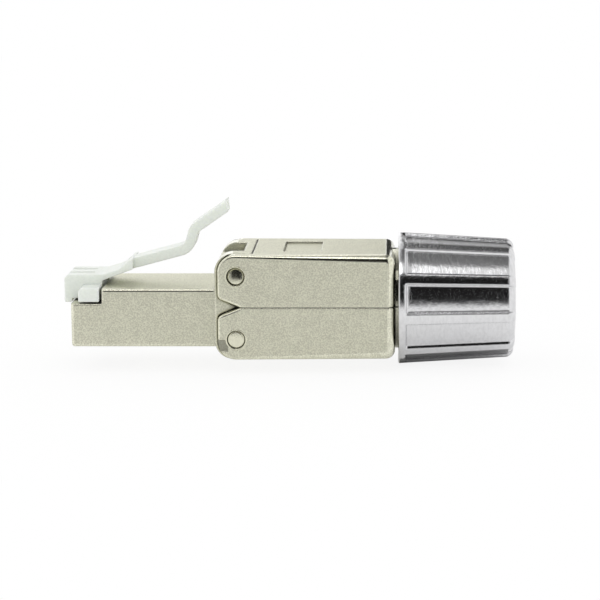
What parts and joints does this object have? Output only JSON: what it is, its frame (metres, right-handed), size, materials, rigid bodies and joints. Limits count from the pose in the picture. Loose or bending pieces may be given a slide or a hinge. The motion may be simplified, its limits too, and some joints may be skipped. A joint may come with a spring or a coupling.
{
  "type": "field termination ethernet plug",
  "caption": "Shielded field termination plug with a metal nose, press latch, hinged covers and a cap nut that clamps the cable.",
  "frame": {"origin": "centre of the nose's front face, on the contact carrier", "axes": "+X along the plug towards the cable, +Z towards the latch, +Y across the plug"},
  "size_m": [0.0532, 0.0156, 0.0199],
  "materials": {
    "satin_nickel": "satin nickel plated zinc die-casting with a fine sand grain",
    "polished_nickel": "polished nickel pin",
    "bright_chrome": "mirror bright chrome plating",
    "latch_plastic": "milky white moulded plastic",
    "carrier_plastic": "off-white moulded plastic",
    "contact_gold": "gold plated spring wire",
    "terminal_tin": "tin plated forked terminal",
    "board_green": "green solder mask"
  },
  "bodies": {
    "plug": {"plug_housing": "satin_nickel", "upper_cover": "satin_nickel", "lower_cover": "satin_nickel", "upper_hinge_pin_near": "polished_nickel", "upper_hinge_pin_far": "polished_nickel", "lower_hinge_pin_near": "polished_nickel", "lower_hinge_pin_far": "polished_nickel", "contact_carrier": "carrier_plastic", "contact_1": "contact_gold", "contact_2": "contact_gold", "contact_3": "contact_gold", "contact_4": "contact_gold", "contact_5": "contact_gold", "contact_6": "contact_gold", "contact_7": "contact_gold", "contact_8": "contact_gold", "circuit_board": "board_green", "idc_block_upper": "carrier_plastic", "idc_block_lower": "carrier_plastic", "idc_terminal_1": "terminal_tin", "idc_terminal_2": "terminal_tin", "idc_terminal_3": "terminal_tin", "idc_terminal_4": "terminal_tin", "idc_terminal_5": "terminal_tin", "idc_terminal_6": "terminal_tin", "idc_terminal_7": "terminal_tin", "idc_terminal_8": "terminal_tin", "wire_guide_upper": "carrier_plastic", "wire_guide_lower": "carrier_plastic"},
    "latch": {"latch": "latch_plastic"},
    "cap_nut": {"cap_nut": "bright_chrome"}
  },
  "joints": [
    {"name": "latch_press", "type": "hinge", "parent": "plug", "child": "latch", "pos_m": [0.00296, 0, 0.00265], "axis": [0, 1, 0], "range_deg": [0, 15], "stiffness_Nm_per_rad": 0.06},
    {"name": "cap_nut_unscrew", "type": "slide", "parent": "plug", "child": "cap_nut", "axis": [1, 0, 0], "range_m": [0, 0.012]}
  ]
}
